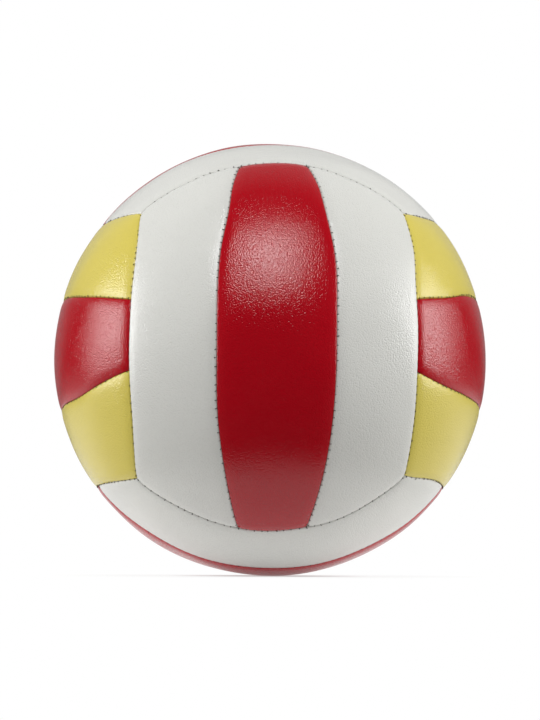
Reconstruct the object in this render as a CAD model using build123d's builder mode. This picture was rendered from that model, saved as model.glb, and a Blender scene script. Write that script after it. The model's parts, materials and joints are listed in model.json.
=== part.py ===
from build123d import *

import os
from math import acos, asin, atan2, cos, degrees, hypot, pi, sin, sqrt

# Volleyball: eighteen padded strips, sewn in six faces of three over an air bladder with a needle valve.
# The origin is the ball's centre, with +Z up. The front face looks along -Y, and the valve is on +Y.

# Ball and panel layout
ball_diameter = 210.0  # over the crown of the panels
face_width = 136.0  # arc across the three strips of a face, at their mid-length
middle_width = 52.5  # arc across the middle strip of a face, at its mid-length
seam_roll = 1.8  # radius that a panel's edge rolls over into its seam

# Layers of a panel, from the outside in
skin_thickness = 0.9  # coated synthetic leather, turned in at the seams
foam_thickness = 3.0
backing_thickness = 0.6  # woven cloth
bladder_wall = 1.0
thread_diameter = 0.6

# Clearances between the layers
seam_gap = 0.1  # between the turned-in edges of two panels
glue_line = 0.05  # between two layers of one panel
thread_gap = 0.05  # between a seam thread and the rolled edges beside it
thread_end_gap = 0.3  # between a thread's end and the thread that it meets
bladder_gap = 0.1  # between the cloth and the bladder

# Valve
valve_recess = 0.6  # of the housing's mouth below the crown of the panel
nose_diameter = 9.0  # of the housing where it passes through the panel
flange_diameter = 26.0
flange_thickness = 1.6
stem_diameter = 11.0
stem_length = 13.0  # below the flange
stem_chamfer = 1.0
plug_diameter = 5.4
plug_length = 18.5
plug_taper = 1.2  # bevel at the plug's tip
head_diameter = 6.8
head_thickness = 1.2
needle_diameter = 2.6  # bore that an inflating needle enters
needle_depth = 11.0
needle_lead = 0.4  # bevel at the mouth of the bore
slit_width = 0.2  # of the self-closing slit below the bore

# Clearances of the valve
nose_gap = 0.15  # around the nose, in the layers that it passes through
plug_gap = 0.05  # around and under the plug, in the housing
head_gap = 0.1  # around the plug's head

# Radii of the layers
ball_radius = ball_diameter / 2
skin_inside = ball_radius - skin_thickness
foam_outside = skin_inside - glue_line
foam_inside = foam_outside - foam_thickness
backing_outside = foam_inside - glue_line
backing_inside = backing_outside - backing_thickness
bladder_outside = backing_inside - bladder_gap
bladder_inside = bladder_outside - bladder_wall

# A strip seam is a great circle along its face. A face seam is a smaller circle, through the point of the
# face's edge at half the face's width and through the two corners where three faces meet.
strip_angle = middle_width / 2 / ball_radius
face_angle = face_width / 2 / ball_radius
corner = 1 / sqrt(3)
seam_tilt = atan2(sin(face_angle) - corner, cos(face_angle) - corner)
cone_angle = pi / 2 - (face_angle - seam_tilt)

# Half the angle that each seam turns through about its axis, from its middle to the seam that ends it
strip_rise = cos(strip_angle) * cos(seam_tilt)
strip_reach = acos(cos(cone_angle) / hypot(strip_rise, sin(seam_tilt))) - atan2(sin(seam_tilt), strip_rise)
face_reach = asin(corner / sin(cone_angle))

# In a face's own frame x runs across the strips, y along them and z out of the ball. Blanks and cuts are
# turned about an axis, over spans that cover more than a whole face.
blank_start = 20  # degrees from the strips' direction to the end of a blank
blank_turn = 50  # degrees that a blank reaches to each side of the face
cut_turn = 80  # degrees that a cut reaches to each side of its seam's middle
cut_angle = 0.8  # radians that a cut reaches beyond its seam
cut_low = 0.8 * ball_radius
cut_high = 1.3 * ball_radius
both = (-1, 1)  # the two sides of a face, and its two ends

# Each face: its outward direction, the direction of its strips, and its strips in order across it
faces = {
    "front": ((0, -1, 0), (0, 0, 1), ("left", "middle", "right")),
    "back": ((0, 1, 0), (0, 0, 1), ("right", "middle", "left")),
    "left": ((-1, 0, 0), (0, 1, 0), ("lower", "middle", "upper")),
    "right": ((1, 0, 0), (0, 1, 0), ("upper", "middle", "lower")),
    "top": ((0, 0, 1), (1, 0, 0), ("back", "middle", "front")),
    "bottom": ((0, 0, -1), (1, 0, 0), ("front", "middle", "back")),
}
positions = (-1, 0, 1)  # of the strips across a face
valve_strip = ("back", "middle")


def face_plane(outward, along):
    """Frame of one face, at the ball's centre."""
    return Plane(origin=(0, 0, 0), x_dir=Vector(along).cross(Vector(outward)), z_dir=outward)


def side_seam(side):
    """Axis of the face seam along one side of a face, and the direction from it to the seam."""
    axis = Vector(side * cos(seam_tilt), 0, -sin(seam_tilt))
    return axis, Vector(side * sin(seam_tilt), 0, cos(seam_tilt))


def end_seam(end):
    """Axis of the face seam across one end of a face, and the direction from it to the seam."""
    axis = Vector(0, -end * sin(seam_tilt), cos(seam_tilt))
    return axis, Vector(0, end * cos(seam_tilt), sin(seam_tilt))


def strip_seam(side):
    """Axis of the seam on one side of a middle strip, and the direction from it to the seam."""
    axis = Vector(side * cos(strip_angle), 0, -sin(strip_angle))
    return axis, Vector(side * sin(strip_angle), 0, cos(strip_angle))


def section_plane(seam, turn):
    """Plane through a seam's axis, with x out from the axis and y along it, turned back from its middle."""
    axis, towards = seam
    start = towards.rotate(Axis((0, 0, 0), axis), -turn)
    return Plane(origin=(0, 0, 0), x_dir=start, z_dir=start.cross(axis))


def seam_cut(seam, beyond, inset):
    """Solid beyond a face seam, outside its cone (1) or within it (-1), drawn towards the strip by inset."""
    wall = Vector(sin(cone_angle), cos(cone_angle))
    back = Vector(cos(cone_angle), -sin(cone_angle)) * beyond * -inset
    far_angle = cone_angle + beyond * cut_angle
    far = Vector(sin(far_angle), cos(far_angle))
    with BuildPart() as cut:
        with BuildSketch(section_plane(seam, cut_turn)):
            with BuildLine():
                Polyline(
                    wall * cut_low + back,
                    wall * cut_high + back,
                    far * cut_high,
                    far * cut_low,
                    close=True,
                )
            make_face()
        revolve(axis=Axis((0, 0, 0), seam[0]), revolution_arc=2 * cut_turn)
    return cut.part


def strip_block(position, outside, inside, inset, roll=0):
    """Piece of a hollow ball in the outline of one strip, drawn in from its seams, with its rim rolled."""
    cuts = [seam_cut(end_seam(end), 1, inset) for end in both]
    if position == 0:
        inward = [-strip_seam(side)[0] for side in both]
    else:
        inward = [strip_seam(position)[0]]
        cuts.append(seam_cut(side_seam(position), -1, inset))
    blank_side = Vector(1, 0, 0).rotate(Axis.Y, -blank_turn)
    with BuildPart() as block:
        with BuildSketch(Plane(origin=(0, 0, 0), x_dir=(0, 1, 0), z_dir=blank_side)):
            with BuildLine():
                crown_arc = CenterArc((0, 0), outside, blank_start, 180 - 2 * blank_start)
                under_arc = CenterArc((0, 0), inside, blank_start, 180 - 2 * blank_start)
                Line(crown_arc @ 0, under_arc @ 0)
                Line(crown_arc @ 1, under_arc @ 1)
            make_face()
        revolve(axis=Axis.Y, revolution_arc=2 * blank_turn)
        for normal in inward:
            split(bisect_by=Plane(origin=normal * inset, z_dir=normal), keep=Keep.TOP)
        for cut in cuts:
            add(cut, mode=Mode.SUBTRACT)
        if roll:
            crown = block.faces().filter_by(GeomType.SPHERE).sort_by(SortBy.AREA)[-1]
            fillet(crown.edges(), roll)
    return block.part


def skin_tray(position):
    """Leather of one strip: a curved tray with its edges rolled over and turned in."""
    edge = seam_gap / 2
    whole = strip_block(position, ball_radius, backing_inside, edge, seam_roll)
    hollow = strip_block(
        position,
        skin_inside,
        backing_inside - skin_thickness,
        edge + skin_thickness,
        seam_roll - skin_thickness,
    )
    with BuildPart() as tray:
        add(whole)
        add(hollow, mode=Mode.SUBTRACT)
    return tray.part


def foam_pad(position):
    """Foam of one strip, inside the turned-in edges of its leather."""
    edge = seam_gap / 2 + skin_thickness + glue_line
    return strip_block(position, foam_outside, foam_inside, edge, seam_roll - skin_thickness - glue_line)


def backing_cloth(position):
    """Cloth of one strip, under its foam."""
    edge = seam_gap / 2 + skin_thickness + glue_line
    return strip_block(position, backing_outside, backing_inside, edge)


def seam_thread(seam, half_angle, reach):
    """Thread along a seam, which lies on a cone about the seam's axis, down between the rolled edges."""
    thread_radius = thread_diameter / 2
    roll_aside = seam_roll + seam_gap / 2
    roll_height = sqrt((ball_radius - seam_roll) ** 2 - roll_aside**2)
    seat_height = sqrt((seam_roll + thread_radius + thread_gap) ** 2 - roll_aside**2)
    line = Vector(sin(half_angle), cos(half_angle)) * (roll_height + seat_height)
    turn = degrees(reach - (thread_radius + thread_end_gap) / line.X)
    with BuildPart() as thread:
        with BuildSketch(section_plane(seam, turn)):
            with Locations(line):
                Circle(thread_radius)
        revolve(axis=Axis((0, 0, 0), seam[0]), revolution_arc=2 * turn)
    return thread.part


os.makedirs("parts", exist_ok=True)
planes = {name: face_plane(outward, along) for name, (outward, along, strips) in faces.items()}
valve_plane = planes[valve_strip[0]]
nose_hole = nose_diameter / 2 + nose_gap

# Panels: leather, foam and cloth of a middle and an outer strip, placed on every face, the outer one twice
layers = {"panel": skin_tray, "foam": foam_pad, "backing": backing_cloth}
for layer, make in layers.items():
    outer = make(-1)
    shapes = {-1: outer, 0: make(0), 1: outer.rotate(Axis.Z, 180)}
    for face, (outward, along, strips) in faces.items():
        for position, strip in zip(positions, strips):
            with BuildPart(planes[face]) as piece:
                add(shapes[position])
                if (face, strip) == valve_strip:
                    with BuildSketch(valve_plane):
                        Circle(nose_hole)
                    extrude(amount=ball_radius, mode=Mode.SUBTRACT)
            piece.part.label = f"{layer}_{face}_{strip}"
            export_step(piece.part, f"parts/{piece.part.label}.step")

# Threads: two along the strip seams of each face, and two along its face seams
threads = {
    "strip_seam_thread": [seam_thread(strip_seam(side), pi / 2, strip_reach) for side in both],
    "face_seam_thread": [seam_thread(side_seam(side), cone_angle, face_reach) for side in both],
}
for name, runs in threads.items():
    with BuildPart(*planes.values()) as sewing:
        add(runs)
    sewing.part.label = name
    export_step(sewing.part, f"parts/{name}.step")

# Bladder, with a hole for the nose of the valve
with BuildPart() as bladder:
    Sphere(bladder_outside)
    Sphere(bladder_inside, mode=Mode.SUBTRACT)
    with BuildSketch(valve_plane):
        Circle(nose_hole)
    extrude(amount=ball_radius, mode=Mode.SUBTRACT)
bladder.part.label = "bladder"
export_step(bladder.part, "parts/bladder.step")

# Valve: heights are measured from the ball's centre along +Y, and radii along +X
mouth = ball_radius - valve_recess
seat = mouth - head_thickness
flange_top = bladder_inside - glue_line
flange_under = flange_top - flange_thickness
stem_end = flange_under - stem_length
bore_radius = plug_diameter / 2 + plug_gap


def on_sphere(sphere_radius, out):
    """Point of the valve's section on a sphere about the ball's centre, at a distance out of the axis."""
    return (out, sqrt(sphere_radius**2 - out**2))


# Housing: the flange lies against the inside of the bladder, with the stem below it and the nose above
with BuildPart() as housing:
    with BuildSketch(Plane.XY):
        with BuildLine():
            stem_root = on_sphere(flange_under, stem_diameter / 2)
            rim_under = on_sphere(flange_under, flange_diameter / 2)
            rim_top = on_sphere(flange_top, flange_diameter / 2)
            nose_root = on_sphere(flange_top, nose_diameter / 2)
            Polyline(
                (bore_radius, stem_end),
                (stem_diameter / 2 - stem_chamfer, stem_end),
                (stem_diameter / 2, stem_end + stem_chamfer),
                stem_root,
            )
            RadiusArc(stem_root, rim_under, flange_under)
            Line(rim_under, rim_top)
            RadiusArc(rim_top, nose_root, -flange_top)
            Polyline(
                nose_root,
                (nose_diameter / 2, mouth),
                (head_diameter / 2 + head_gap, mouth),
                (head_diameter / 2 + head_gap, seat),
                (bore_radius, seat),
                (bore_radius, stem_end),
            )
        make_face()
    revolve(axis=Axis.Y)
housing.part.label = "valve_housing"
export_step(housing.part, "parts/valve_housing.step")

# Plug: pressed into the housing from outside, with a blind bore and a slit that the needle opens
tip = mouth - plug_length
bore_end = mouth - needle_depth
with BuildPart() as plug:
    with BuildSketch(Plane.XY):
        with BuildLine():
            Polyline(
                (0, tip),
                (plug_diameter / 2 - plug_taper, tip),
                (plug_diameter / 2, tip + plug_taper),
                (plug_diameter / 2, seat + plug_gap),
                (head_diameter / 2, seat + plug_gap),
                (head_diameter / 2, mouth),
                (needle_diameter / 2 + needle_lead, mouth),
                (needle_diameter / 2, mouth - needle_lead),
                (needle_diameter / 2, bore_end),
                (0, bore_end),
                (0, tip),
            )
        make_face()
    revolve(axis=Axis.Y)
    with BuildSketch(valve_plane.offset(tip)):
        Rectangle(needle_diameter, slit_width)
    extrude(amount=bore_end - tip, mode=Mode.SUBTRACT)
plug.part.label = "valve_plug"
export_step(plug.part, "parts/valve_plug.step")
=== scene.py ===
import json
from collections import namedtuple
from math import asin, atan2, cos, pi, radians, sin, sqrt

import bmesh
import bpy
import numpy as np
from bpy.props import FloatProperty, FloatVectorProperty, PointerProperty
from bpy.types import NodeSocket, Operator, Panel, PropertyGroup
from mathutils import Matrix, Vector


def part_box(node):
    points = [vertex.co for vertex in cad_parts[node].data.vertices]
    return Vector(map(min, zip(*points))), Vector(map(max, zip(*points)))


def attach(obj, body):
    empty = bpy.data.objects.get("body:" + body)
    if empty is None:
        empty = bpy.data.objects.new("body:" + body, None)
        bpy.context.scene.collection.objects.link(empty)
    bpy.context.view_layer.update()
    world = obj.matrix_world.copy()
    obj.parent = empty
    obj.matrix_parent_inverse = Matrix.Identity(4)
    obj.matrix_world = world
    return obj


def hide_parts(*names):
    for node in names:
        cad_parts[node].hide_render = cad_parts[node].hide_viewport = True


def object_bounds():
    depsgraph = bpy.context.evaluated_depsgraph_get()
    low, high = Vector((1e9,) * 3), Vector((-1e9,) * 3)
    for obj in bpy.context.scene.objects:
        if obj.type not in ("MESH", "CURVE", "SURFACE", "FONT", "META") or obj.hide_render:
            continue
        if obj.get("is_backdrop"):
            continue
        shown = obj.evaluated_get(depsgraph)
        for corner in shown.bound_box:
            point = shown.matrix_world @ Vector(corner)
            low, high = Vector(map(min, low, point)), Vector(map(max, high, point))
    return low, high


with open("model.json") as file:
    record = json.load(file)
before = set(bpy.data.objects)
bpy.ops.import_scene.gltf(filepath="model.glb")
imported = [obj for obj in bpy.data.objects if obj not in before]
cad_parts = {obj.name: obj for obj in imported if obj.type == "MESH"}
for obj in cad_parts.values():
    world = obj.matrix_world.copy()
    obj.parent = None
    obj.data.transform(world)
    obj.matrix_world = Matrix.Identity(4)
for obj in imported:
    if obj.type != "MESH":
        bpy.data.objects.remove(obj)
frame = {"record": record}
cad_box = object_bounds()

bl_info = {
    "name": "Sewn Volleyball",
    "version": (1, 0, 0),
    "blender": (4, 5, 0),
    "location": "View3D > Sidebar > Volleyball",
    "description": "Builds a volleyball of eighteen sewn panels, with its padding, bladder and valve",
    "category": "Mesh",
}

# Each face: its outward direction, the direction of its strips, and its strips in order across it
FACES = {
    "front": ((0, -1, 0), (0, 0, 1), ("left", "middle", "right")),
    "back": ((0, 1, 0), (0, 0, 1), ("right", "middle", "left")),
    "left": ((-1, 0, 0), (0, 1, 0), ("lower", "middle", "upper")),
    "right": ((1, 0, 0), (0, 1, 0), ("upper", "middle", "lower")),
    "top": ((0, 0, 1), (1, 0, 0), ("back", "middle", "front")),
    "bottom": ((0, 0, -1), (1, 0, 0), ("front", "middle", "back")),
}
POSITIONS = (-1, 0, 1)
BOTH = (-1, 1)
VALVE_STRIP = ("back", "middle")
MILLIMETRE = 0.001

# Seeds of the smooth noise in the seams' places and in the padding's height, and of the stitches' differences
DRIFT_SEEDS = (31, 32, 33)
PADDING_SEED = 5
STITCH_SEED = 17

# Rounds in which the latitudes of a strip's points settle
SETTLING_ROUNDS = 14

# Where the top strips slip forward: centre and reach across the ball, and reach along it,
# as shares of its radius
SLIP_CENTRE = -0.2
SLIP_ACROSS = 0.6
SLIP_ALONG = 0.4

# How far a strip's grid is drawn towards its edges, across and along it
EDGE_DRAW = (0.88, 0.65)

# Widths beside a seam over which the stitches pucker the leather, and over which it shows wear and is duller,
# and close to the seam is painted darker as wear and painted shade
PUCKER_WIDTH = 0.0016
SEAM_WEAR_AND_SHADE_WIDTH = 0.006

# Valve hole: half-sizes of the finer middle of the grid, cuts in each of its edges, rings that are drawn
# round the hole, and the width and depth of its rim
HOLE_BLOCK = (0.41, 0.13)
HOLE_CUTS = 3
HOLE_RINGS = 3.2
HOLE_RIM_WIDTH = 0.0009
HOLE_RIM_FALL = 0.0004

# Bend and taper of a stitch at its ends, how much stitches differ in place along and across the seam,
# the mean and spread of their slant in degrees, and the limits of their stretch across and along it
STITCH_BEND = 0.0005
STITCH_TAPER = 0.25
STITCH_SPREAD = 0.00035
STITCH_STRAY = 0.00012
STITCH_SLANT = (12, 12)
STITCH_STRETCH = ((0.75, 1.2), (0.8, 1.15))

# Parting line of the bladder's mould: half its width, and its height
PARTING_WIDTH = 0.0012
PARTING_HEIGHT = 0.00004

# Angle in radians past which a rim of the valve is sharp and gets rounded
SHARP_RIM = 0.4

# Bevels of the valve's stem and plug, depth of the plug's slit, width of the bore's lead-in,
# and the moulded ring round the bore as distances out from it and depths
STEM_BEVEL = 0.001
PLUG_BEVEL = 0.0012
SLIT_DEPTH = 0.003
LEAD_IN = 0.0004
PLUG_RING = ((0.0013, 0), (0.0011, 0.0002), (0.0008, 0.0002), (0.0006, 0), (0.0004, 0))

# Softboxes: name, azimuth, elevation, height and the setting that holds the power
SOFTBOXES = (
    ("overhead_softbox", -3, 46, 0.48, "overhead_power"),
    ("left_softbox", -89, 8, 0.8, "left_power"),
    ("right_softbox", 87, 8, 0.95, "right_power"),
)
SOFTBOX_WIDTH = 0.5
SOFTBOX_DISTANCE = 1.2

# Floor and tent: radii, the tent's opening round the ball as a share of its radius, its gap above the floor,
# and how bright reflections see the floor
FLOOR_RADIUS = 2.5
TENT_RADIUS = 2
TENT_OPENING = 0.056
TENT_GAP = 0.001
FLOOR_IN_GLOSS = 0.65

# Shadows on the floor: where each starts and ends, out from the ball, and its brightness where it starts
CONTACT_SHADOW = (0.001, 0.011, 0.45)
POOL_SHADOW = (0.011, 0.045, 0.88)

# Shift of the camera's frame, as shares of the picture's height of 720 pixels
FRAME_SHIFT = (-0.3 / 720, 0.2 / 720)

# Where the sewing pulled the seams of the front aside: a direction from the centre, and the pull there
# in millimetres
SEAM_PULLS = (
    ((0.75, -0.66, -0.01), (-0.6, -0.7, 0.0)),
    ((0.70, -0.34, 0.62), (-1.4, -1.9, 0.5)),
    ((0.68, -0.44, -0.59), (-0.2, -2.2, 1.4)),
    ((-0.78, -0.63, -0.02), (-0.4, 0.5, 1.0)),
    ((-0.69, -0.46, 0.56), (-0.3, -1.4, -1.6)),
    ((-0.67, -0.45, -0.59), (-0.6, 1.9, -0.8)),
    ((0.24, -0.95, 0.19), (1.3, 0.0, -1.5)),
    ((0.20, -0.85, -0.48), (0.0, 0.7, -1.3)),
    ((-0.22, -0.94, 0.25), (0.5, 0.0, 0.3)),
    ((-0.22, -0.85, -0.48), (0.4, 0.2, -0.5)),
    ((-0.01, -0.60, -0.80), (-0.5, 1.4, -1.0)),
    ((-0.60, -0.75, -0.27), (-0.7, 0.9, -0.9)),
    ((0.59, -0.79, 0.16), (0.6, 0.8, 1.5)),
)
# Pulls of the same kind that don't reach as far
SHORT_PULLS = (
    ((-0.58, -0.80, -0.13), (0.0, 0.0, 2.0)),
    ((-0.84, -0.50, -0.20), (0.0, 0.0, -1.9)),
    ((-0.93, -0.28, -0.22), (0.0, 0.0, -1.0)),
    ((-0.89, -0.38, 0.25), (0.0, 0.0, 1.0)),
    ((0.86, -0.45, 0.23), (0.0, 0.0, 1.9)),
    ((0.95, -0.20, 0.25), (0.0, 0.0, 1.1)),
    ((0.77, -0.61, -0.18), (0.0, 0.0, -0.9)),
    ((0.21, -0.61, 0.76), (-1.6, 0.0, 0.0)),
)

SLOTS = {row["node"]: row["material_slot"] for row in frame["record"]["subparts"]}
COLOURS = {row["slot"]: row["base_color"] for row in frame["record"]["materials"]}
BALL_RADIUS = (cad_box[1].z - cad_box[0].z) / 2
HOUSING_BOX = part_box("valve_housing")
PLUG_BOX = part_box("valve_plug")


def length(name, description, default):
    return FloatProperty(
        name=name,
        description=description,
        default=default,
        min=0,
        precision=5,
        subtype="DISTANCE",
        unit="LENGTH",
    )


def angle(name, description, default):
    return FloatProperty(
        name=name, description=description, default=radians(default), subtype="ANGLE", unit="ROTATION"
    )


def power(name, description, default):
    return FloatProperty(
        name=name, description=description, default=default, min=0, subtype="POWER", unit="POWER"
    )


def share(name, description, default):
    return FloatProperty(name=name, description=description, default=default, min=0, max=1, subtype="FACTOR")


def colour(name, description, slot, seen=None):
    return FloatVectorProperty(
        name=name,
        description=description,
        default=seen or COLOURS[slot],
        min=0,
        max=1,
        size=3,
        subtype="COLOR",
    )


class VolleyballSizes(PropertyGroup):
    """Sizes of the ball, its panels, its stitches and its valve"""

    ball_radius: length("Ball radius", "Radius over the crown of the panels", BALL_RADIUS)
    face_width: length("Face width", "Arc across the three strips of a face, at their mid-length", 0.136)
    middle_width: length("Middle strip width", "Arc across a middle strip, at its mid-length", 0.0525)
    seam_gap: length("Seam gap", "Gap between the turned-in edges of two panels", 0.0001)
    seam_roll: length("Seam roll", "Depth over which a panel's edge rolls into its seam", 0.0006)
    seam_shoulder: length("Seam shoulder", "Width over which a panel's edge rolls into its seam", 0.0008)
    pillow_width: length("Pillow width", "Width of the soft fall of the padding towards a seam", 0.005)
    pillow_drop: length("Pillow drop", "Depth of the soft fall of the padding at a seam", 0.0005)
    skin_thickness: length("Leather thickness", "Thickness of the synthetic leather", 0.0009)
    foam_thickness: length("Foam thickness", "Thickness of the foam under the leather", 0.003)
    cloth_thickness: length("Cloth thickness", "Thickness of the cloth under the foam", 0.0006)
    glue_line: length("Glue line", "Gap between two layers of a panel", 0.00005)
    bladder_gap: length("Bladder gap", "Gap between the cloth and the bladder", 0.0001)
    bladder_wall: length("Bladder wall", "Thickness of the rubber bladder", 0.001)
    stitch_pitch: length("Stitch pitch", "Distance from one stitch to the next", 0.0035)
    stitch_length: length("Stitch length", "Length of a stitch across its seam", 0.00105)
    stitch_thickness: length("Stitch thickness", "Diameter of the sewing thread", 0.0004)
    stitch_lean: length("Stitch lean", "Shift of a stitch from a strip seam towards the outer strip", 0.0004)
    stitch_depth: length("Stitch depth", "Depth of a stitch below the crown of the panels", 0.00046)
    pucker: length("Pucker", "Depth that a stitch draws the leather in", 0.00012)
    seam_drift: length("Seam drift", "Sideways drift of the hand-guided seams", 0.00045)
    pull_reach: length("Pull reach", "Distance over which a pulled seam takes the panels with it", 0.028)
    short_reach: length("Short reach", "The same distance for the shorter pulls", 0.014)
    top_slip: length("Top strip slip", "Forward slip of the middle strip at the top of the ball", 0.0095)
    top_swell: length("Top swell", "Swell of the padding at the top of the ball", 0.00033)
    unevenness: length("Unevenness", "Height of the slow waves in the padding", 0.00012)
    valve_hole: length("Valve hole radius", "Radius of the hole in the layers around the valve", 0.00465)
    nose_radius: length("Nose radius", "Radius of the housing where it passes through the panel", 0.0045)
    stem_radius: length("Stem radius", "Radius of the valve housing inside the bladder", 0.0055)
    flange_thickness: length("Flange thickness", "Thickness of the housing's flange", 0.0016)
    plug_radius: length("Plug radius", "Radius of the plug in the housing's bore", 0.0027)
    plug_gap: length("Plug gap", "Gap around the plug in the housing", 0.00005)
    head_thickness: length("Head thickness", "Thickness of the plug's head", 0.0012)
    head_gap: length("Head gap", "Gap around the plug's head", 0.0001)
    needle_radius: length("Needle bore radius", "Radius of the bore for an inflating needle", 0.0013)
    needle_depth: length("Needle bore depth", "Depth of the bore for an inflating needle", 0.011)
    slit_width: length("Slit width", "Width of the self-closing slit in the plug's tip", 0.0002)


class VolleyballColours(PropertyGroup):
    """Colours of the ball's materials"""

    white_leather: colour("White leather", "Colour of the white panels", "white_leather")
    red_leather: colour("Red leather", "Colour of the red panels", "red_leather", (0.45, 0.002, 0.009))
    yellow_leather: colour("Yellow leather", "Colour of the yellow panels", "yellow_leather")
    seam_thread: colour("Seam thread", "Colour of the sewing thread", "seam_thread")
    foam: colour("Foam", "Colour of the padding", "foam")
    backing_cloth: colour("Backing cloth", "Colour of the woven backing", "backing_cloth")
    butyl_rubber: colour("Bladder rubber", "Colour of the bladder", "butyl_rubber")
    valve_rubber: colour("Housing rubber", "Colour of the valve's housing", "valve_rubber")
    plug_rubber: colour("Plug rubber", "Colour of the valve's plug", "plug_rubber")


class VolleyballStudio(PropertyGroup):
    """Camera and light of the studio"""

    camera_distance: length("Camera distance", "Distance from the camera to the ball's centre", 0.7666)
    camera_azimuth: angle("Camera azimuth", "Turn of the camera about the vertical", -1.42)
    camera_elevation: angle("Camera elevation", "Height of the camera above the ball's centre", -7.27)
    camera_roll: angle("Camera roll", "Turn of the camera about its line of sight", 0.23)
    camera_lens: FloatProperty(
        name="Lens",
        description="Focal length in millimetres",
        default=78,
        min=1,
        subtype="DISTANCE_CAMERA",
        unit="CAMERA",
    )
    overhead_power: power("Overhead light", "Power of the softbox above the front of the ball", 6.8)
    left_power: power("Left light", "Power of the softbox on the left", 7.9)
    right_power: power("Right light", "Power of the softbox on the right", 8.7)
    front_light: share("Front light", "Strength of the light from the room behind the camera", 0.19)
    back_light: share("Back light", "Strength of the light from the white sweep behind the ball", 0.9)
    table_light: share("Table light", "Strength of the glow of the table under and beside the ball", 0.7)


Seam = namedtuple("Seam", "axis towards opening reach")
Layer = namedtuple("Layer", "crown inset roll shoulder pillow_drop turn_in thickness columns rows")


class SeamPlan:
    """Where the seams of a face run.

    In a face's frame x goes across its strips, y along them and z outwards.
    """

    def __init__(self, sizes):
        self.radius = sizes.ball_radius
        self.strip_angle = sizes.middle_width / 2 / self.radius
        face_angle = sizes.face_width / 2 / self.radius
        corner = 1 / sqrt(3)
        self.tilt = atan2(sin(face_angle) - corner, cos(face_angle) - corner)
        self.cone = pi / 2 - (face_angle - self.tilt)
        self.face_reach = asin(corner / sin(self.cone))
        self.strip_reach = float(self.end_latitude(self.strip_angle))

    def end_latitude(self, longitude):
        """Latitude at which the face ends, along a line of longitude."""
        rise = np.cos(longitude) * cos(self.tilt)
        lean = np.arctan2(sin(self.tilt), rise)
        return np.arccos(cos(self.cone) / np.hypot(rise, sin(self.tilt))) - lean

    def strip_longitudes(self, position, latitude):
        """Longitudes between which a strip lies, along a line of latitude."""
        if position == 0:
            return -self.strip_angle, self.strip_angle
        outer = self.tilt + np.arcsin(cos(self.cone) / np.cos(latitude))
        return (self.strip_angle, outer) if position > 0 else (-outer, -self.strip_angle)

    def directions(self, position, across, along, inset):
        """Directions in the face's frame of points of a strip, given from -1 to 1 across and along it."""
        latitude = np.zeros_like(across)
        for _ in range(SETTLING_ROUNDS):
            low, high = self.strip_longitudes(position, latitude)
            half = (high - low) / 2 - inset / self.radius / np.cos(latitude)
            longitude = (low + high) / 2 + across * half
            latitude = along * (self.end_latitude(longitude) - inset / self.radius)
        flat = np.cos(latitude)
        return np.stack([flat * np.sin(longitude), np.sin(latitude), flat * np.cos(longitude)], axis=1)

    def strip_seam(self, side):
        a = self.strip_angle
        return Seam((side * cos(a), 0, -sin(a)), (side * sin(a), 0, cos(a)), pi / 2, self.strip_reach)

    def side_seam(self, side):
        a = self.tilt
        return Seam((side * cos(a), 0, -sin(a)), (side * sin(a), 0, cos(a)), self.cone, self.face_reach)

    def end_seam(self, end):
        a = self.tilt
        return Seam((0, -end * sin(a), cos(a)), (0, end * cos(a), sin(a)), self.cone, self.face_reach)

    def borders(self, position):
        """The seams round a strip, each with 1 where the strip lies outside the seam's circle, else -1."""
        ends = [(self.end_seam(end), -1) for end in BOTH]
        if position == 0:
            return [(self.strip_seam(side), 1) for side in BOTH] + ends
        return [(self.strip_seam(position), -1), (self.side_seam(position), 1)] + ends

    def stitch_count(self, seam, pitch):
        return max(1, round(2 * seam.reach * sin(seam.opening) * self.radius / pitch))

    def seam_point(self, seam, turn):
        """Direction of a point of a seam, and the direction of the seam there."""
        axis, towards = np.array(seam.axis), np.array(seam.towards)
        onward = np.cross(axis, towards)
        out = towards * cos(turn) + onward * sin(turn)
        return axis * cos(seam.opening) + out * sin(seam.opening), onward * cos(turn) - towards * sin(turn)


def face_turn(face):
    """Matrix from a face's frame to the ball's."""
    outward, along = Vector(FACES[face][0]), Vector(FACES[face][1])
    return np.array([along.cross(outward), along, outward]).T


def waves(directions, seed, count, slow, fast):
    """Smooth noise over the ball: a sum of waves, the same for every piece that asks with one seed."""
    draw = np.random.default_rng(seed)
    height = np.zeros(len(directions))
    for _ in range(count):
        heading = draw.normal(size=3)
        heading *= draw.uniform(slow, fast) / np.linalg.norm(heading)
        height += np.sin(directions @ heading + draw.uniform(0, 2 * pi))
    return height / sqrt(count / 2)


def top_share(directions):
    """1 near the middle strip of the top, and less away from it."""
    x, y, z = directions.T
    return smoothed(2 * z) * np.exp(-(((x - SLIP_CENTRE) / SLIP_ACROSS) ** 2) - (y / SLIP_ALONG) ** 4)


def drifted(directions, sizes):
    """Directions moved along with the hand-guided seams, so that neighbouring pieces stay together."""
    drift = np.stack([waves(directions, seed, count=7, slow=6, fast=20) for seed in DRIFT_SEEDS], axis=1)
    moved = directions + drift * sizes.seam_drift / sizes.ball_radius
    for pulls, reach in ((SEAM_PULLS, sizes.pull_reach), (SHORT_PULLS, sizes.short_reach)):
        for place, pull in pulls:
            near = np.exp(-(((directions - place) / reach * sizes.ball_radius) ** 2).sum(axis=1) / 2)
            moved += near[:, None] * np.array(pull) * MILLIMETRE / sizes.ball_radius
    moved[:, 1] -= top_share(directions) * sizes.top_slip / sizes.ball_radius
    from_valve = np.linalg.norm(directions - np.array(FACES["back"][0]), axis=1) * sizes.ball_radius
    moved = directions + (moved - directions) * smoothed(from_valve / sizes.pull_reach)[:, None]
    return moved / np.linalg.norm(moved, axis=1, keepdims=True)


def towards_edges(steps, amount):
    """Even steps from -1 to 1, drawn towards both ends."""
    return (1 - amount) * steps + amount * np.sin(steps * pi / 2)


def smoothed(value):
    value = np.clip(value, 0, 1)
    return value * value * (3 - 2 * value)


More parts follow.
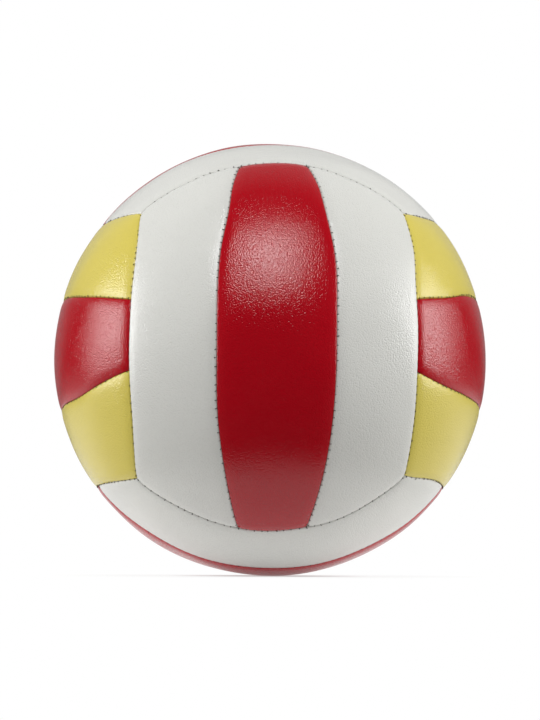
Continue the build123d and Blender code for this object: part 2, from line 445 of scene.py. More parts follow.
def seam_readings(plan, sizes, directions, position):
    """Distance of each point of a strip from each of its seams, and how near it is to a stitch there."""
    readings = []
    for seam, side in plan.borders(position):
        axis, towards = np.array(seam.axis), np.array(seam.towards)
        opening = np.arccos(np.clip(directions @ axis, -1, 1))
        turn = np.arctan2(directions @ np.cross(axis, towards), directions @ towards)
        count = plan.stitch_count(seam, sizes.stitch_pitch)
        beat = 0.5 - 0.5 * np.cos(2 * pi * (turn / seam.reach / 2 + 0.5) * count)
        readings.append((side * plan.radius * (opening - seam.opening), beat))
    return readings


def strip_mesh(plan, sizes, layer, face, position, with_hole):
    """One layer of a strip: a grid laid on the ball, its rim rolled over, and its edge turned in."""
    strip = bmesh.new()
    bmesh.ops.create_grid(strip, x_segments=layer.columns, y_segments=layer.rows, size=1)
    if with_hole:
        middle = [
            edge
            for edge in strip.edges
            if all(abs(way) < limit for vert in edge.verts for way, limit in zip(vert.co, HOLE_BLOCK))
        ]
        bmesh.ops.subdivide_edges(strip, edges=middle, cuts=HOLE_CUTS, use_grid_fill=True)
        strip.verts.index_update()
    grid = np.array([vert.co[:2] for vert in strip.verts])
    across = towards_edges(grid[:, 0], EDGE_DRAW[0])
    along = towards_edges(grid[:, 1], EDGE_DRAW[1])
    directions = plan.directions(position, across, along, layer.inset)
    hole_fall = np.zeros(len(grid))
    if with_hole:
        ring, hole_fall = open_hole(directions, grid, layer, sizes.valve_hole)
        inside = [patch for patch in strip.faces if all(ring[vert.index] <= 1.0001 for vert in patch.verts)]
    readings = seam_readings(plan, sizes, directions, position)
    edge = np.zeros(len(grid))
    fall = np.zeros(len(grid))
    for distance, beat in readings:
        edge += np.clip(1 - distance / layer.shoulder, 0, 1) ** 3
        fall += layer.pillow_drop * np.clip(1 - distance / sizes.pillow_width, 0, 1) ** 2
        if layer.pillow_drop:
            fall += sizes.pucker * beat * np.exp(-((distance / PUCKER_WIDTH) ** 2))
    edge = np.clip(edge, 0, 1) ** (1 / 3)
    fall += layer.roll * (1 - np.sqrt(1 - edge**2)) + hole_fall
    world = directions @ face_turn(face).T
    swell = sizes.top_swell * top_share(world)
    fall += sizes.unevenness * waves(world, PADDING_SEED, count=9, slow=8, fast=26) - swell
    points = drifted(world, sizes) * (layer.crown - fall)[:, None]
    nearest = np.min([distance for distance, beat in readings], axis=0)
    # Nearness to a seam: the leather's finish uses it for wear, dullness and painted shade at the seams.
    near_seam = strip.verts.layers.float.new("near_seam")
    for vert, point, distance in zip(strip.verts, points, nearest):
        vert.co = point
        vert[near_seam] = np.clip(1 - distance / SEAM_WEAR_AND_SHADE_WIDTH, 0, 1)
    x, y, z = directions.T
    flat = layer.crown * np.stack([np.arctan2(x, z), np.arcsin(y)], axis=1)
    cut = strip.loops.layers.uv.new("Strip")
    for patch in strip.faces:
        for corner in patch.loops:
            corner[cut].uv = flat[corner.vert.index]
    if with_hole:
        bmesh.ops.delete(strip, geom=inside, context="FACES")
    if layer.turn_in:
        rim = [
            edge
            for edge in strip.edges
            if edge.is_boundary and max(abs(grid[vert.index]).max() for vert in edge.verts) > 0.999
        ]
        turned = bmesh.ops.extrude_edge_only(strip, edges=rim)["geom"]
        for vert in turned:
            if isinstance(vert, bmesh.types.BMVert):
                vert.co *= layer.turn_in / vert.co.length
    for patch in strip.faces:
        patch.smooth = True
    return strip


def open_hole(directions, grid, layer, radius):
    """Draws the middle of a grid out into rings round a hole, and returns each point's ring and its fall."""
    ball = layer.crown
    flat = directions[:, :2] * ball
    lines = []
    for way in (0, 1):
        on_line = np.abs(grid[:, 1 - way]) < 1e-6 + np.abs(grid[:, 1 - way]).min()
        steps = np.abs(grid[on_line, way])
        lines.append(steps[np.argmin(np.abs(np.abs(flat[on_line, way]) - radius))])
    ring = np.max(np.abs(grid) / np.array(lines), axis=1)
    out = np.linalg.norm(flat, axis=1)
    target = flat * (radius * ring / np.maximum(out, 1e-9))[:, None]
    pull = smoothed((HOLE_RINGS - ring) / (HOLE_RINGS - 1))[:, None]
    flat = flat + (target - flat) * pull
    directions[:, :2] = np.where(pull > 0, flat / ball, directions[:, :2])
    directions[:, 2] = np.sqrt(1 - directions[:, 0] ** 2 - directions[:, 1] ** 2)
    rim = np.clip(1 - (np.linalg.norm(flat, axis=1) - radius) / HOLE_RIM_WIDTH, 0, 1)
    return ring, HOLE_RIM_FALL * rim**2


def finished(name, shape, material, slot, nodes, body="ball", wall=0):
    """Object of a mesh, on its body and in the place of its CAD nodes."""
    mesh = bpy.data.meshes.new(name)
    shape.to_mesh(mesh)
    shape.free()
    mesh.materials.append(material)
    piece = bpy.data.objects.new(name, mesh)
    bpy.context.scene.collection.objects.link(piece)
    if wall:
        solid = piece.modifiers.new("Wall", "SOLIDIFY")
        solid.thickness = wall
        solid.offset = -1
    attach(piece, body)
    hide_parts(*nodes)
    return piece


def add_node(tree, kind, inputs=None, **settings):
    """A shader node with its settings. An input is a number, a colour or another node's output."""
    node = tree.nodes.new("ShaderNode" + kind)
    for name, value in settings.items():
        setattr(node, name, value)
    for name, value in (inputs or {}).items():
        if isinstance(value, NodeSocket):
            tree.links.new(value, node.inputs[name])
        else:
            node.inputs[name].default_value = value
    return node


def new_finish(name):
    """A material with its tree, its shader and its Object coordinates."""
    material = bpy.data.materials.new(name)
    material.use_nodes = True
    tree = material.node_tree
    tree.nodes.clear()
    shader = add_node(tree, "BsdfPrincipled")
    add_node(tree, "OutputMaterial", {"Surface": shader.outputs["BSDF"]})
    return material, tree, shader, add_node(tree, "TexCoord").outputs["Object"]


def joined(tree, shader, tint, bump, roughness):
    """Gives a shader its colour, its bump and its roughness."""
    tree.links.new(tint, shader.inputs["Base Color"])
    tree.links.new(bump.outputs["Normal"], shader.inputs["Normal"])
    if isinstance(roughness, NodeSocket):
        tree.links.new(roughness, shader.inputs["Roughness"])
    else:
        shader.inputs["Roughness"].default_value = roughness


def noise(tree, place, scale, detail, roughness=0.5):
    inputs = {"Vector": place, "Scale": scale, "Detail": detail, "Roughness": roughness}
    return add_node(tree, "TexNoise", inputs).outputs["Fac"]


def math(tree, operation, first, second):
    return add_node(tree, "Math", {0: first, 1: second}, operation=operation).outputs[0]


def ranged(tree, value, low, high, to_low, to_high):
    inputs = {"Value": value, "From Min": low, "From Max": high, "To Min": to_low, "To Max": to_high}
    return add_node(tree, "MapRange", inputs).outputs["Result"]


def blended(tree, factor, first, second):
    """Mix of two colours."""
    node = add_node(tree, "Mix", {"Factor": factor}, data_type="RGBA")
    for socket, value in zip((node.inputs[6], node.inputs[7]), (first, second)):
        if isinstance(value, NodeSocket):
            tree.links.new(value, socket)
        else:
            socket.default_value = value
    return node.outputs[2]


def shade(tint, amount):
    """A colour made lighter or darker."""
    return (*(min(1, channel * amount) for channel in tint), 1)


def leather_finish(name, tint):
    """Coated leather: fine pebbles with creases between them, painted darker in the creases as painted shade,
    cloudy gloss, and duller edges at seams, painted darker there as wear and as painted shade in the seam
    groove.
    """
    material, tree, shader, place = new_finish(name)
    cells = {"Vector": place, "Scale": 1600, "Smoothness": 0.4, "Randomness": 1}
    pebbles = add_node(tree, "TexVoronoi", cells, feature="SMOOTH_F1").outputs["Distance"]
    pores = noise(tree, place, scale=1500, detail=2, roughness=0.6)
    clouds = noise(tree, place, scale=38, detail=4)
    near_seam = add_node(tree, "Attribute", attribute_name="near_seam").outputs["Fac"]
    domes = math(tree, "MULTIPLY", pebbles, pebbles)
    grain = math(tree, "SUBTRACT", math(tree, "MULTIPLY", pores, 0.3), domes)
    bump = add_node(tree, "Bump", {"Strength": 1, "Distance": 0.00012, "Height": grain})
    tone = blended(tree, ranged(tree, clouds, 0.3, 0.7, 0, 1), shade(tint, 0.985), shade(tint, 1.01))
    # Painted shade: the colour is darkened in the creases between the pebbles.
    crease_shaded = blended(tree, ranged(tree, pebbles, 0.4, 0.8, 0, 0.3), tone, shade(tint, 0.9))
    # Wear and painted shade: the colour is darkened close to the seam, in its groove.
    seam_wear_and_shade = blended(tree, ranged(tree, near_seam, 0.85, 1, 0, 0.25), crease_shaded, shade(tint, 0.85))
    gloss = ranged(tree, clouds, 0.3, 0.7, 0.13, 0.17)
    shader.inputs["Specular IOR Level"].default_value = 0.6
    joined(tree, shader, seam_wear_and_shade, bump, math(tree, "ADD", gloss, math(tree, "MULTIPLY", near_seam, 0.05)))
    return material


def thread_finish(name, tint):
    """Waxed sewing thread: its plies run round it as a slanting wave, painted darker in the grooves between
    them as painted shade and lighter on their crests as painted light.
    """
    material, tree, shader, place = new_finish(name)
    twist = {"Vector": place, "Scale": 900, "Distortion": 3, "Detail": 2}
    plies = add_node(tree, "TexWave", twist, bands_direction="DIAGONAL").outputs["Fac"]
    wax = noise(tree, place, scale=400, detail=3)
    bump = add_node(tree, "Bump", {"Strength": 0.6, "Distance": 0.00008, "Height": plies})
    # Painted shade and light: darker in the grooves between the plies, lighter on their crests.
    tone = blended(tree, plies, shade(tint, 0.6), shade(tint, 1.4))
    joined(tree, shader, tone, bump, ranged(tree, wax, 0.3, 0.7, 0.5, 0.75))
    return material


def foam_finish(name, tint):
    """Closed-cell foam: small round cells with thin walls, painted darker inside the cells as painted shade
    and lighter on the walls.
    """
    material, tree, shader, place = new_finish(name)
    cells = add_node(
        tree, "TexVoronoi", {"Vector": place, "Scale": 1600, "Randomness": 1}, feature="DISTANCE_TO_EDGE"
    ).outputs["Distance"]
    bump = add_node(tree, "Bump", {"Strength": 0.7, "Distance": 0.0002, "Height": cells}, invert=True)
    # Painted shade: the hollows of the cells are darker than their walls.
    tone = blended(tree, ranged(tree, cells, 0, 0.25, 1, 0), shade(tint, 0.85), shade(tint, 1.08))
    joined(tree, shader, tone, bump, 0.85)
    return material


def cloth_finish(name, tint):
    """Plain woven cloth: warp and weft as two sets of waves, along and across the strip, painted darker
    between the yarns as painted shade.
    """
    material, tree, shader, place = new_finish(name)
    flat = add_node(tree, "UVMap", uv_map="Strip").outputs["UV"]
    yarn = {"Vector": flat, "Scale": 300, "Distortion": 0.4}
    yarns = [add_node(tree, "TexWave", yarn, bands_direction=way).outputs["Fac"] for way in ("X", "Y")]
    weave = math(tree, "MAXIMUM", *yarns)
    fluff = noise(tree, place, scale=900, detail=4)
    height = math(tree, "ADD", weave, math(tree, "MULTIPLY", fluff, 0.4))
    bump = add_node(tree, "Bump", {"Strength": 0.6, "Distance": 0.0002, "Height": height})
    # Painted shade: the colour is darker where the weave is low, between the yarns.
    joined(tree, shader, blended(tree, weave, shade(tint, 0.7), shade(tint, 1.05)), bump, 0.9)
    return material


def rubber_finish(name, tint, roughness):
    """Moulded rubber: a faint mottle, with bloom that dulls it in patches."""
    material, tree, shader, place = new_finish(name)
    skin = noise(tree, place, scale=1400, detail=4, roughness=0.6)
    bloom = noise(tree, place, scale=120, detail=4)
    bump = add_node(tree, "Bump", {"Strength": 0.3, "Distance": 0.00006, "Height": skin})
    tone = blended(tree, ranged(tree, bloom, 0.4, 0.7, 0, 1), shade(tint, 0.9), shade(tint, 1.25))
    joined(tree, shader, tone, bump, ranged(tree, bloom, 0.3, 0.7, roughness - 0.08, roughness + 0.08))
    return material


def each_strip():
    """Face, strip and position of every strip of the ball."""
    for face, (_, _, strips) in FACES.items():
        for position, strip in zip(POSITIONS, strips):
            yield face, strip, position


class VOLLEYBALL_OT_leather(Operator):
    """Make the eighteen leather panels, rolled over and turned in at their seams"""

    bl_idname = "volleyball.leather"
    bl_label = "Leather Panels"

    def execute(self, context):
        sizes, colours = context.scene.volleyball_sizes, context.scene.volleyball_colours
        plan = SeamPlan(sizes)
        depth = sizes.skin_thickness + sizes.foam_thickness + sizes.cloth_thickness
        layer = Layer(
            crown=sizes.ball_radius,
            inset=sizes.seam_gap / 2,
            roll=sizes.seam_roll,
            shoulder=sizes.seam_shoulder,
            pillow_drop=sizes.pillow_drop,
            turn_in=sizes.ball_radius - depth,
            thickness=sizes.skin_thickness,
            columns=56,
            rows=290,
        )
        finishes = {
            slot: leather_finish(slot, getattr(colours, slot))
            for slot in ("white_leather", "red_leather", "yellow_leather")
        }
        for face, strip, position in each_strip():
            node = f"panel_{face}_{strip}"
            slot = SLOTS[node]
            shape = strip_mesh(plan, sizes, layer, face, position, (face, strip) == VALVE_STRIP)
            panel = finished(
                f"leather_{face}_{strip}", shape, finishes[slot], slot, [node], wall=layer.thickness
            )
        return {"FINISHED"}


class VOLLEYBALL_OT_foam(Operator):
    """Make the foam pad under every leather panel"""

    bl_idname = "volleyball.foam"
    bl_label = "Foam Pads"

    def execute(self, context):
        sizes, colours = context.scene.volleyball_sizes, context.scene.volleyball_colours
        plan = SeamPlan(sizes)
        skin = sizes.skin_thickness + sizes.glue_line
        layer = Layer(
            crown=sizes.ball_radius - skin,
            inset=sizes.seam_gap / 2 + skin,
            roll=0,
            shoulder=sizes.seam_shoulder,
            pillow_drop=sizes.pillow_drop,
            turn_in=0,
            thickness=sizes.foam_thickness - sizes.pillow_drop,
            columns=24,
            rows=80,
        )
        finish = foam_finish("foam", colours.foam)
        for face, strip, position in each_strip():
            node = f"foam_{face}_{strip}"
            shape = strip_mesh(plan, sizes, layer, face, position, (face, strip) == VALVE_STRIP)
            pad = finished(f"pad_{face}_{strip}", shape, finish, SLOTS[node], [node], wall=layer.thickness)
        return {"FINISHED"}


class VOLLEYBALL_OT_backing(Operator):
    """Make the woven cloth that backs every foam pad"""

    bl_idname = "volleyball.backing"
    bl_label = "Backing Cloths"

    def execute(self, context):
        sizes, colours = context.scene.volleyball_sizes, context.scene.volleyball_colours
        plan = SeamPlan(sizes)
        skin = sizes.skin_thickness + sizes.glue_line
        layer = Layer(
            crown=sizes.ball_radius - skin - sizes.foam_thickness - sizes.glue_line,
            inset=sizes.seam_gap / 2 + skin,
            roll=0,
            shoulder=sizes.seam_shoulder,
            pillow_drop=0,
            turn_in=0,
            thickness=sizes.cloth_thickness,
            columns=20,
            rows=70,
        )
        finish = cloth_finish("backing_cloth", colours.backing_cloth)
        for face, strip, position in each_strip():
            node = f"backing_{face}_{strip}"
            shape = strip_mesh(plan, sizes, layer, face, position, (face, strip) == VALVE_STRIP)
            area = sum(patch.calc_area() for patch in shape.faces)
            flat = shape.loops.layers.uv["Strip"]
            cut = [corner[flat].uv for patch in shape.faces for corner in patch.loops]
            name, pad = f"cloth_{face}_{strip}", f"pad_{face}_{strip}"
            cloth = finished(name, shape, finish, SLOTS[node], [node], wall=layer.thickness)
        return {"FINISHED"}


class VOLLEYBALL_OT_stitching(Operator):
    """Sew the seams: short bars of thread across every seam, each a little different"""

    bl_idname = "volleyball.stitching"
    bl_label = "Stitching"

    def execute(self, context):
        sizes, colours = context.scene.volleyball_sizes, context.scene.volleyball_colours
        plan = SeamPlan(sizes)
        finish = thread_finish("seam_thread", colours.seam_thread)
        stitch = self.stitch(sizes)
        runs = {
            "strip_seam_thread": ([plan.strip_seam(side) for side in BOTH], sizes.stitch_lean),
            "face_seam_thread": ([plan.side_seam(side) for side in BOTH], 0),
        }
        draw = np.random.default_rng(STITCH_SEED)
        for node, (seams, lean) in runs.items():
            sewing = bmesh.new()
            for face in FACES:
                for seam in seams:
                    for place in self.places(plan, sizes, face, seam, lean, draw):
                        bar = stitch.copy()
                        bar.transform(place)
                        sewing.from_mesh(bar)
                        bpy.data.meshes.remove(bar)
            for patch in sewing.faces:
                patch.smooth = True
            finished(node.replace("thread", "stitches"), sewing, finish, SLOTS[node], [node])
        bpy.data.meshes.remove(stitch)
        return {"FINISHED"}

    def stitch(self, sizes):
        """One stitch along x, its ends bent down into the leather."""
        bar = bmesh.new()
        radius = sizes.stitch_thickness / 2
        turn = Matrix.Rotation(pi / 2, 4, "Y")
        bmesh.ops.create_cone(
            bar,
            cap_ends=True,
            segments=6,
            radius1=radius,
            radius2=radius,
            depth=sizes.stitch_length,
            matrix=turn,
        )
        long_edges = [edge for edge in bar.edges if abs(edge.verts[0].co.x - edge.verts[1].co.x) > radius]
        bmesh.ops.subdivide_edges(bar, edges=long_edges, cuts=4)
        half = sizes.stitch_length / 2
        for vert in bar.verts:
            way = vert.co.x / half
            vert.co.z -= STITCH_BEND * way**2
            vert.co.y *= 1 - STITCH_TAPER * way**2
        mesh = bpy.data.meshes.new("stitch")
        bar.to_mesh(mesh)
        bar.free()
        return mesh

    def places(self, plan, sizes, face, seam, lean, draw):
        """Where the stitches of one seam go: x across the seam, y along it and z outwards."""
        count = plan.stitch_count(seam, sizes.stitch_pitch)
        turn_matrix = face_turn(face)
        for number in range(count):
            turn = ((number + 0.5) / count - 0.5) * 2 * seam.reach
            turn += draw.normal(0, STITCH_SPREAD) / sizes.ball_radius
            out, onward = (turn_matrix @ way for way in plan.seam_point(seam, turn))
            out = Vector(drifted(out[None], sizes)[0])
            across = Vector(onward).cross(out).normalized()
            onward = out.cross(across)
            slant = Matrix.Rotation(radians(draw.normal(*STITCH_SLANT)), 4, "Z")
            stretch = Matrix.Diagonal((*(draw.uniform(*limits) for limits in STITCH_STRETCH), 1, 1))
            turned = Matrix((across, onward, out)).transposed().to_4x4()
            height = sizes.ball_radius - sizes.stitch_depth + draw.normal(0, STITCH_STRAY)
            place = out * height - across * draw.normal(lean, STITCH_STRAY)
            yield Matrix.Translation(place) @ turned @ slant @ stretch


def turned(profile, steps, bevel):
    """Shape turned about the valve's axis from the radii and heights of its section, with rounded rims."""
    shape = bmesh.new()
    line = [shape.verts.new((radius, height, 0)) for radius, height in profile]
    line += [shape.edges.new(pair) for pair in zip(line, line[1:])]
    bmesh.ops.spin(
        shape, geom=line, cent=(0, 0, 0), axis=(0, 1, 0), angle=2 * pi, steps=steps, use_merge=True
    )
    bmesh.ops.remove_doubles(shape, verts=shape.verts, dist=1e-7)
    bmesh.ops.recalc_face_normals(shape, faces=shape.faces)
    if bevel:
        rims = [edge for edge in shape.edges if edge.calc_face_angle_signed(0) > SHARP_RIM]
        bmesh.ops.bevel(
            shape,
            geom=rims,
            offset=bevel,
            offset_type="OFFSET",
            segments=2,
            profile=0.5,
            affect="EDGES",
            material=-1,
        )
    for patch in shape.faces:
        patch.smooth = True
    return shape


def on_sphere(radius, out):
    """Point of the valve's section on a sphere about the ball's centre, at a distance out of the axis."""
    return out, sqrt(radius**2 - out**2)


class VOLLEYBALL_OT_bladder(Operator):
    """Make the rubber bladder, open where the valve passes through it"""

    bl_idname = "volleyball.bladder"
    bl_label = "Bladder"

    def execute(self, context):
        sizes, colours = context.scene.volleyball_sizes, context.scene.volleyball_colours
        shell = sizes.skin_thickness + sizes.foam_thickness + sizes.cloth_thickness + 2 * sizes.glue_line
        radius = sizes.ball_radius - shell - sizes.bladder_gap
        shape = bmesh.new()
        bmesh.ops.create_uvsphere(shape, u_segments=96, v_segments=64, radius=radius)
        bmesh.ops.rotate(shape, verts=shape.verts, matrix=Matrix.Rotation(-pi / 2, 3, "X"))
        pole = max(shape.verts, key=lambda vert: vert.co.y)
        ring = [edge.other_vert(pole) for edge in pole.link_edges]
        rim_height = sqrt(radius**2 - sizes.valve_hole**2)
        for vert in ring:
            out = Vector((vert.co.x, 0, vert.co.z)).normalized() * sizes.valve_hole
            vert.co = (out.x, rim_height, out.z)
        bmesh.ops.delete(shape, geom=[pole], context="VERTS")
        for vert in shape.verts:
            parting = abs(vert.co.x) < PARTING_WIDTH
            vert.co *= 1 + (PARTING_HEIGHT / radius if parting else 0)
        for patch in shape.faces:
            patch.smooth = True
        finish = rubber_finish("butyl_rubber", colours.butyl_rubber, roughness=0.6)
        finished("air_bladder", shape, finish, SLOTS["bladder"], ["bladder"], wall=sizes.bladder_wall)
        return {"FINISHED"}


class VOLLEYBALL_OT_valve(Operator):
    """Make the valve: a flanged rubber housing, and the plug that is pulled out of it"""

    bl_idname = "volleyball.valve"
    bl_label = "Valve"

    def execute(self, context):
        sizes, colours = context.scene.volleyball_sizes, context.scene.volleyball_colours
        housing = turned(self.housing(sizes), steps=64, bevel=0.00015)
        plug = turned(self.plug(sizes), steps=48, bevel=0.00012)
        self.slit(plug, sizes)
        finish = rubber_finish("valve_rubber", colours.valve_rubber, roughness=0.5)
        finished("valve_body", housing, finish, SLOTS["valve_housing"], ["valve_housing"])
        finish = rubber_finish("plug_rubber", colours.plug_rubber, roughness=0.45)
        finished("needle_plug", plug, finish, SLOTS["valve_plug"], ["valve_plug"], body="valve_plug")
        return {"FINISHED"}

    def housing(self, sizes):
        """Section of the housing: stem, flange against the bladder, nose, and the plug's seat and bore."""
        low, high = HOUSING_BOX
        mouth, stem_end, rim = high.y, low.y, (high.x - low.x) / 2
        head = (PLUG_BOX[1].x - PLUG_BOX[0].x) / 2 + sizes.head_gap
        bore = sizes.plug_radius + sizes.plug_gap
        top = self.flange_top(sizes)
        under = top - sizes.flange_thickness
        stem, nose = sizes.stem_radius, sizes.nose_radius
        seat = mouth - sizes.head_thickness
        return [
            (bore, stem_end),
            (stem - STEM_BEVEL, stem_end),
            (stem, stem_end + STEM_BEVEL),
            *(on_sphere(under, out) for out in np.linspace(stem, rim, 4)),
            *(on_sphere(top, out) for out in np.linspace(rim, nose, 4)),
            (nose, mouth),
            (head, mouth),
            (head, seat),
            (bore, seat),
            (bore, stem_end),
        ]

    def flange_top(self, sizes):
        """Distance of the flange's upper side from the ball's centre, just inside the bladder."""
        shell = sizes.skin_thickness + sizes.foam_thickness + sizes.cloth_thickness + 3 * sizes.glue_line
        return sizes.ball_radius - shell - sizes.bladder_gap - sizes.bladder_wall

    def plug(self, sizes):
        """Section of the plug: bevelled tip, shank, and a head with a moulded ring round the bore."""
        low, high = PLUG_BOX
        mouth, tip, head = high.y, low.y, (high.x - low.x) / 2
        seat = mouth - sizes.head_thickness + sizes.plug_gap
        shank, needle = sizes.plug_radius, sizes.needle_radius
        return [
            (0, tip),
            (shank - PLUG_BEVEL, tip),
            (shank, tip + PLUG_BEVEL),
            (shank, seat),
            (head, seat),
            (head, mouth),
            *((needle + out, mouth - depth) for out, depth in PLUG_RING),
            (needle, mouth - LEAD_IN),
            (needle, mouth - sizes.needle_depth),
            (0, mouth - sizes.needle_depth),
        ]

    def slit(self, plug, sizes):
        """Cuts the slit into the plug's tip."""
        tip = PLUG_BOX[0].y
        cuts = [((0, 0, side * sizes.slit_width / 2), (0, 0, 1)) for side in BOTH]
        cuts += [((side * sizes.needle_radius, 0, 0), (1, 0, 0)) for side in BOTH]
        for place, way in cuts:
            flat = [face for face in plug.faces if face.calc_center_median().y < tip + 1e-6]
            geometry = flat + list({part for face in flat for part in (*face.edges, *face.verts)})
            bmesh.ops.bisect_plane(plug, geom=geometry, dist=1e-7, plane_co=place, plane_no=way)
        inside = []
        for face in plug.faces:
            x, y, z = face.calc_center_median()
            if y < tip + 1e-6 and abs(z) < sizes.slit_width / 2 and abs(x) < sizes.needle_radius:
                inside.append(face)
        deep = bmesh.ops.extrude_face_region(plug, geom=inside)["geom"]
        floor = [part for part in deep if isinstance(part, bmesh.types.BMVert)]
        bmesh.ops.translate(plug, verts=floor, vec=(0, SLIT_DEPTH, 0))
        bmesh.ops.delete(plug, geom=inside, context="FACES")


class VOLLEYBALL_OT_stage(Operator):
    """Set up the floor, the white surround, the dark tent that paints the reflections, the lights and the
    camera
    """

    bl_idname = "volleyball.stage"
    bl_label = "Studio"

    def execute(self, context):
        studio = context.scene.volleyball_studio
        radius = context.scene.volleyball_sizes.ball_radius
        self.floor(context, radius, studio.table_light)
        self.surround(context, studio)
        self.dark_tent(context, radius)
        for name, azimuth, elevation, height, watts in SOFTBOXES:
            self.softbox(context, name, azimuth, elevation, height, getattr(studio, watts))
        self.camera(context, studio)
        return {"FINISHED"}

    def set_piece(self, context, name, material_name, shape):
        """Object of the set with a new material, and the material's tree and Object coordinates."""
        mesh = bpy.data.meshes.new(name)
        shape.to_mesh(mesh)
        shape.free()
        piece = bpy.data.objects.new(name, mesh)
        context.scene.collection.objects.link(piece)
        material = bpy.data.materials.new(material_name)
        material.use_nodes = True
        mesh.materials.append(material)
        tree = material.node_tree
        tree.nodes.clear()
        return piece, tree, add_node(tree, "TexCoord").outputs["Object"]

    def floor(self, context, radius, table_light):
        """White table that glows under and behind the ball, pure white in the picture but for the shadow."""
        shape = bmesh.new()
        bmesh.ops.create_circle(shape, cap_ends=True, segments=96, radius=FLOOR_RADIUS)
        bmesh.ops.translate(shape, verts=shape.verts, vec=(0, 0, -radius))
        floor, tree, place = self.set_piece(context, "floor", "floor_paper", shape)
        behind = add_node(tree, "SeparateXYZ", {0: place}).outputs["Y"]
        paper = add_node(tree, "BsdfDiffuse", {"Color": ranged(tree, behind, -0.25, 0.05, 0.25, 0.85)})
        glow = add_node(tree, "Emission", {"Color": (1, 1, 1, 1), "Strength": 1})
        out = add_node(tree, "VectorMath", {0: place}, operation="LENGTH").outputs["Value"]
        contact, pool = (
            ranged(tree, out, radius + start, radius + end, dark, 1)
            for start, end, dark in (CONTACT_SHADOW, POOL_SHADOW)
        )
        bright = math(tree, "MULTIPLY", self.seen(tree, FLOOR_IN_GLOSS), pool)
        bright = math(tree, "MAXIMUM", bright, ranged(tree, behind, -0.12, 0, 0.05, table_light))
        lift = math(tree, "MULTIPLY", bright, contact)
        mixed = add_node(tree, "MixShader", {0: lift, 1: paper.outputs[0], 2: glow.outputs[0]})
        add_node(tree, "OutputMaterial", {"Surface": mixed.outputs[0]})
        floor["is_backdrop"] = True

    def seen(self, tree, mirrored_share=1):
        """1 for rays from the camera, a share for reflected and refracted rays, and 0 for the rest."""
        path = add_node(tree, "LightPath").outputs
        mirrored = math(tree, "MAXIMUM", path["Is Glossy Ray"], path["Is Transmission Ray"])
        if mirrored_share < 1:
            mirrored = math(tree, "MULTIPLY", mirrored, mirrored_share)
        return math(tree, "MAXIMUM", path["Is Camera Ray"], mirrored)

    def surround(self, context, studio):
        """White all round in the picture. The sweep behind the ball lights it more than the room in front."""
        world = bpy.data.worlds.new("surround")
        context.scene.world = world
        world.use_nodes = True
        tree = world.node_tree
        tree.nodes.clear()
        place = add_node(tree, "TexCoord").outputs["Generated"]
        behind = add_node(tree, "SeparateXYZ", {0: place}).outputs["Y"]
        ambient = ranged(tree, behind, -1, 1, studio.front_light, studio.back_light)
        strength = ranged(tree, self.seen(tree), 0, 1, ambient, 1)
        sky = add_node(tree, "Background", {"Color": (1, 1, 1, 1), "Strength": strength})
        add_node(tree, "OutputWorld", {"Surface": sky.outputs[0]})

    def dark_tent(self, context, radius):
        """Glowing shape round the set, seen only in the gloss: a painted reflection, dark in front and
        glowing above the back and on the table behind.
        """
        shape = bmesh.new()
        bmesh.ops.create_uvsphere(shape, u_segments=32, v_segments=16, radius=TENT_RADIUS)
        below = [vert for vert in shape.verts if vert.co.z < -0.01]
        bmesh.ops.delete(shape, geom=below, context="VERTS")
        skirt = bmesh.ops.create_circle(shape, segments=64, radius=TENT_RADIUS)["verts"]
        outer = list({edge for vert in skirt for edge in vert.link_edges})
        inner = bmesh.ops.extrude_edge_only(shape, edges=outer)["geom"]
        inner = [vert for vert in inner if isinstance(vert, bmesh.types.BMVert)]
        bmesh.ops.scale(shape, verts=inner, vec=(TENT_OPENING, TENT_OPENING, 1))
        bmesh.ops.translate(shape, verts=inner, vec=(0, 0, TENT_GAP - radius))
        tent, tree, place = self.set_piece(context, "dark_tent", "tent_cloth", shape)
        back_and_up = {0: place, 1: (0, 0.8, 0.6)}
        behind = add_node(tree, "VectorMath", back_and_up, operation="DOT_PRODUCT").outputs["Value"]
        _, depth, height = add_node(tree, "SeparateXYZ", {0: place}).outputs
        low = ranged(tree, height, -0.1, -0.02, 1, 0)
        table = math(tree, "MULTIPLY", low, ranged(tree, depth, -0.1, 0.1, 0, 0.9))
        # Painted reflection: the tent's glow, seen only by reflected rays.
        reflected_glow = math(tree, "MAXIMUM", ranged(tree, behind, 1.2, 2, 0.002, 0.5), table)
        cloth = add_node(tree, "Emission", {"Color": (1, 1, 1, 1), "Strength": reflected_glow})
        add_node(tree, "OutputMaterial", {"Surface": cloth.outputs[0]})
        tent.visible_camera = tent.visible_diffuse = tent.visible_transmission = tent.visible_shadow = False
        tent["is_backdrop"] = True

    def softbox(self, context, name, azimuth, elevation, height, watts):
        light = bpy.data.lights.new(name, "AREA")
        light.shape = "RECTANGLE"
        light.size, light.size_y = SOFTBOX_WIDTH, height
        light.energy = watts
        lamp = bpy.data.objects.new(name, light)
        a, e = radians(azimuth), radians(elevation)
        towards = Vector((sin(a) * cos(e), -cos(a) * cos(e), sin(e)))
        lamp.location = towards * SOFTBOX_DISTANCE
        lamp.rotation_mode = "QUATERNION"
        lamp.rotation_quaternion = towards.to_track_quat("Z", "Y")
        lamp.visible_camera = False
        context.scene.collection.objects.link(lamp)

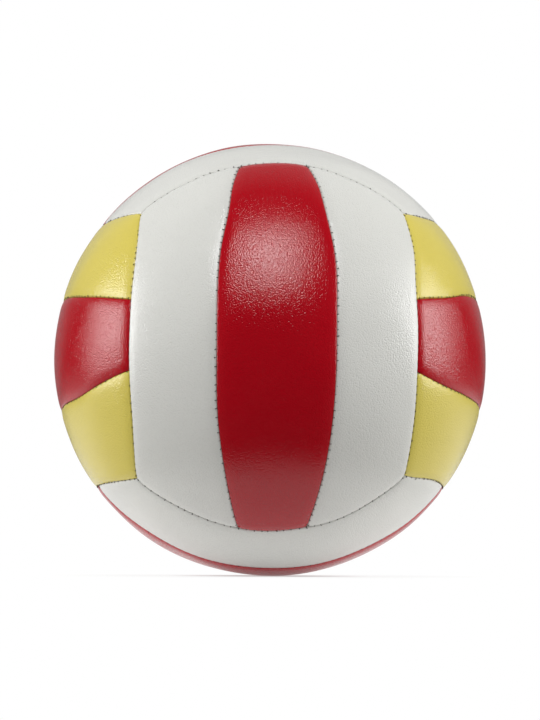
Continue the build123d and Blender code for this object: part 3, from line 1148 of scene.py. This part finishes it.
    def camera(self, context, studio):
        camera = bpy.data.objects.new("camera", bpy.data.cameras.new("camera"))
        context.scene.collection.objects.link(camera)
        camera.data.lens = studio.camera_lens
        camera.data.sensor_width = 36
        camera.data.clip_start, camera.data.clip_end = 0.01, 20
        camera.data.shift_x, camera.data.shift_y = FRAME_SHIFT
        a, e = studio.camera_azimuth, studio.camera_elevation
        back = Vector((sin(a) * cos(e), -cos(a) * cos(e), sin(e)))
        camera.location = back * studio.camera_distance
        camera.rotation_mode = "QUATERNION"
        roll = Matrix.Rotation(studio.camera_roll, 3, "Z").to_quaternion()
        camera.rotation_quaternion = (-back).to_track_quat("-Z", "Y") @ roll
        context.scene.camera = camera
        context.scene.view_settings.view_transform = "Standard"


class VOLLEYBALL_PT_builder(Panel):
    """Sizes, colours and builders of the volleyball"""

    bl_idname = "VOLLEYBALL_PT_builder"
    bl_label = "Volleyball"
    bl_space_type = "VIEW_3D"
    bl_region_type = "UI"
    bl_category = "Volleyball"

    def draw(self, context):
        for group in (
            context.scene.volleyball_sizes,
            context.scene.volleyball_colours,
            context.scene.volleyball_studio,
        ):
            box = self.layout.box()
            for name in group.bl_rna.properties.keys():
                if name not in ("rna_type", "name"):
                    box.prop(group, name)
        for builder in BUILDERS:
            self.layout.operator(builder.bl_idname)


BUILDERS = (
    VOLLEYBALL_OT_leather,
    VOLLEYBALL_OT_foam,
    VOLLEYBALL_OT_backing,
    VOLLEYBALL_OT_stitching,
    VOLLEYBALL_OT_bladder,
    VOLLEYBALL_OT_valve,
    VOLLEYBALL_OT_stage,
)
GROUPS = {
    "volleyball_sizes": VolleyballSizes,
    "volleyball_colours": VolleyballColours,
    "volleyball_studio": VolleyballStudio,
}


def register():
    for kind in (*GROUPS.values(), *BUILDERS, VOLLEYBALL_PT_builder):
        bpy.utils.register_class(kind)
    for name, group in GROUPS.items():
        setattr(bpy.types.Scene, name, PointerProperty(type=group))


def unregister():
    for name in GROUPS:
        delattr(bpy.types.Scene, name)
    for kind in reversed((*GROUPS.values(), *BUILDERS, VOLLEYBALL_PT_builder)):
        bpy.utils.unregister_class(kind)


def main():
    register()
    bpy.ops.volleyball.leather()
    bpy.ops.volleyball.foam()
    bpy.ops.volleyball.backing()
    bpy.ops.volleyball.stitching()
    bpy.ops.volleyball.bladder()
    bpy.ops.volleyball.valve()
    bpy.ops.volleyball.stage()
    boxes = {"cad": cad_box, "visual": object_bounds()}
    {name: [list(corner) for corner in box] for name, box in boxes.items()}


if __name__ == "__main__":
    main()
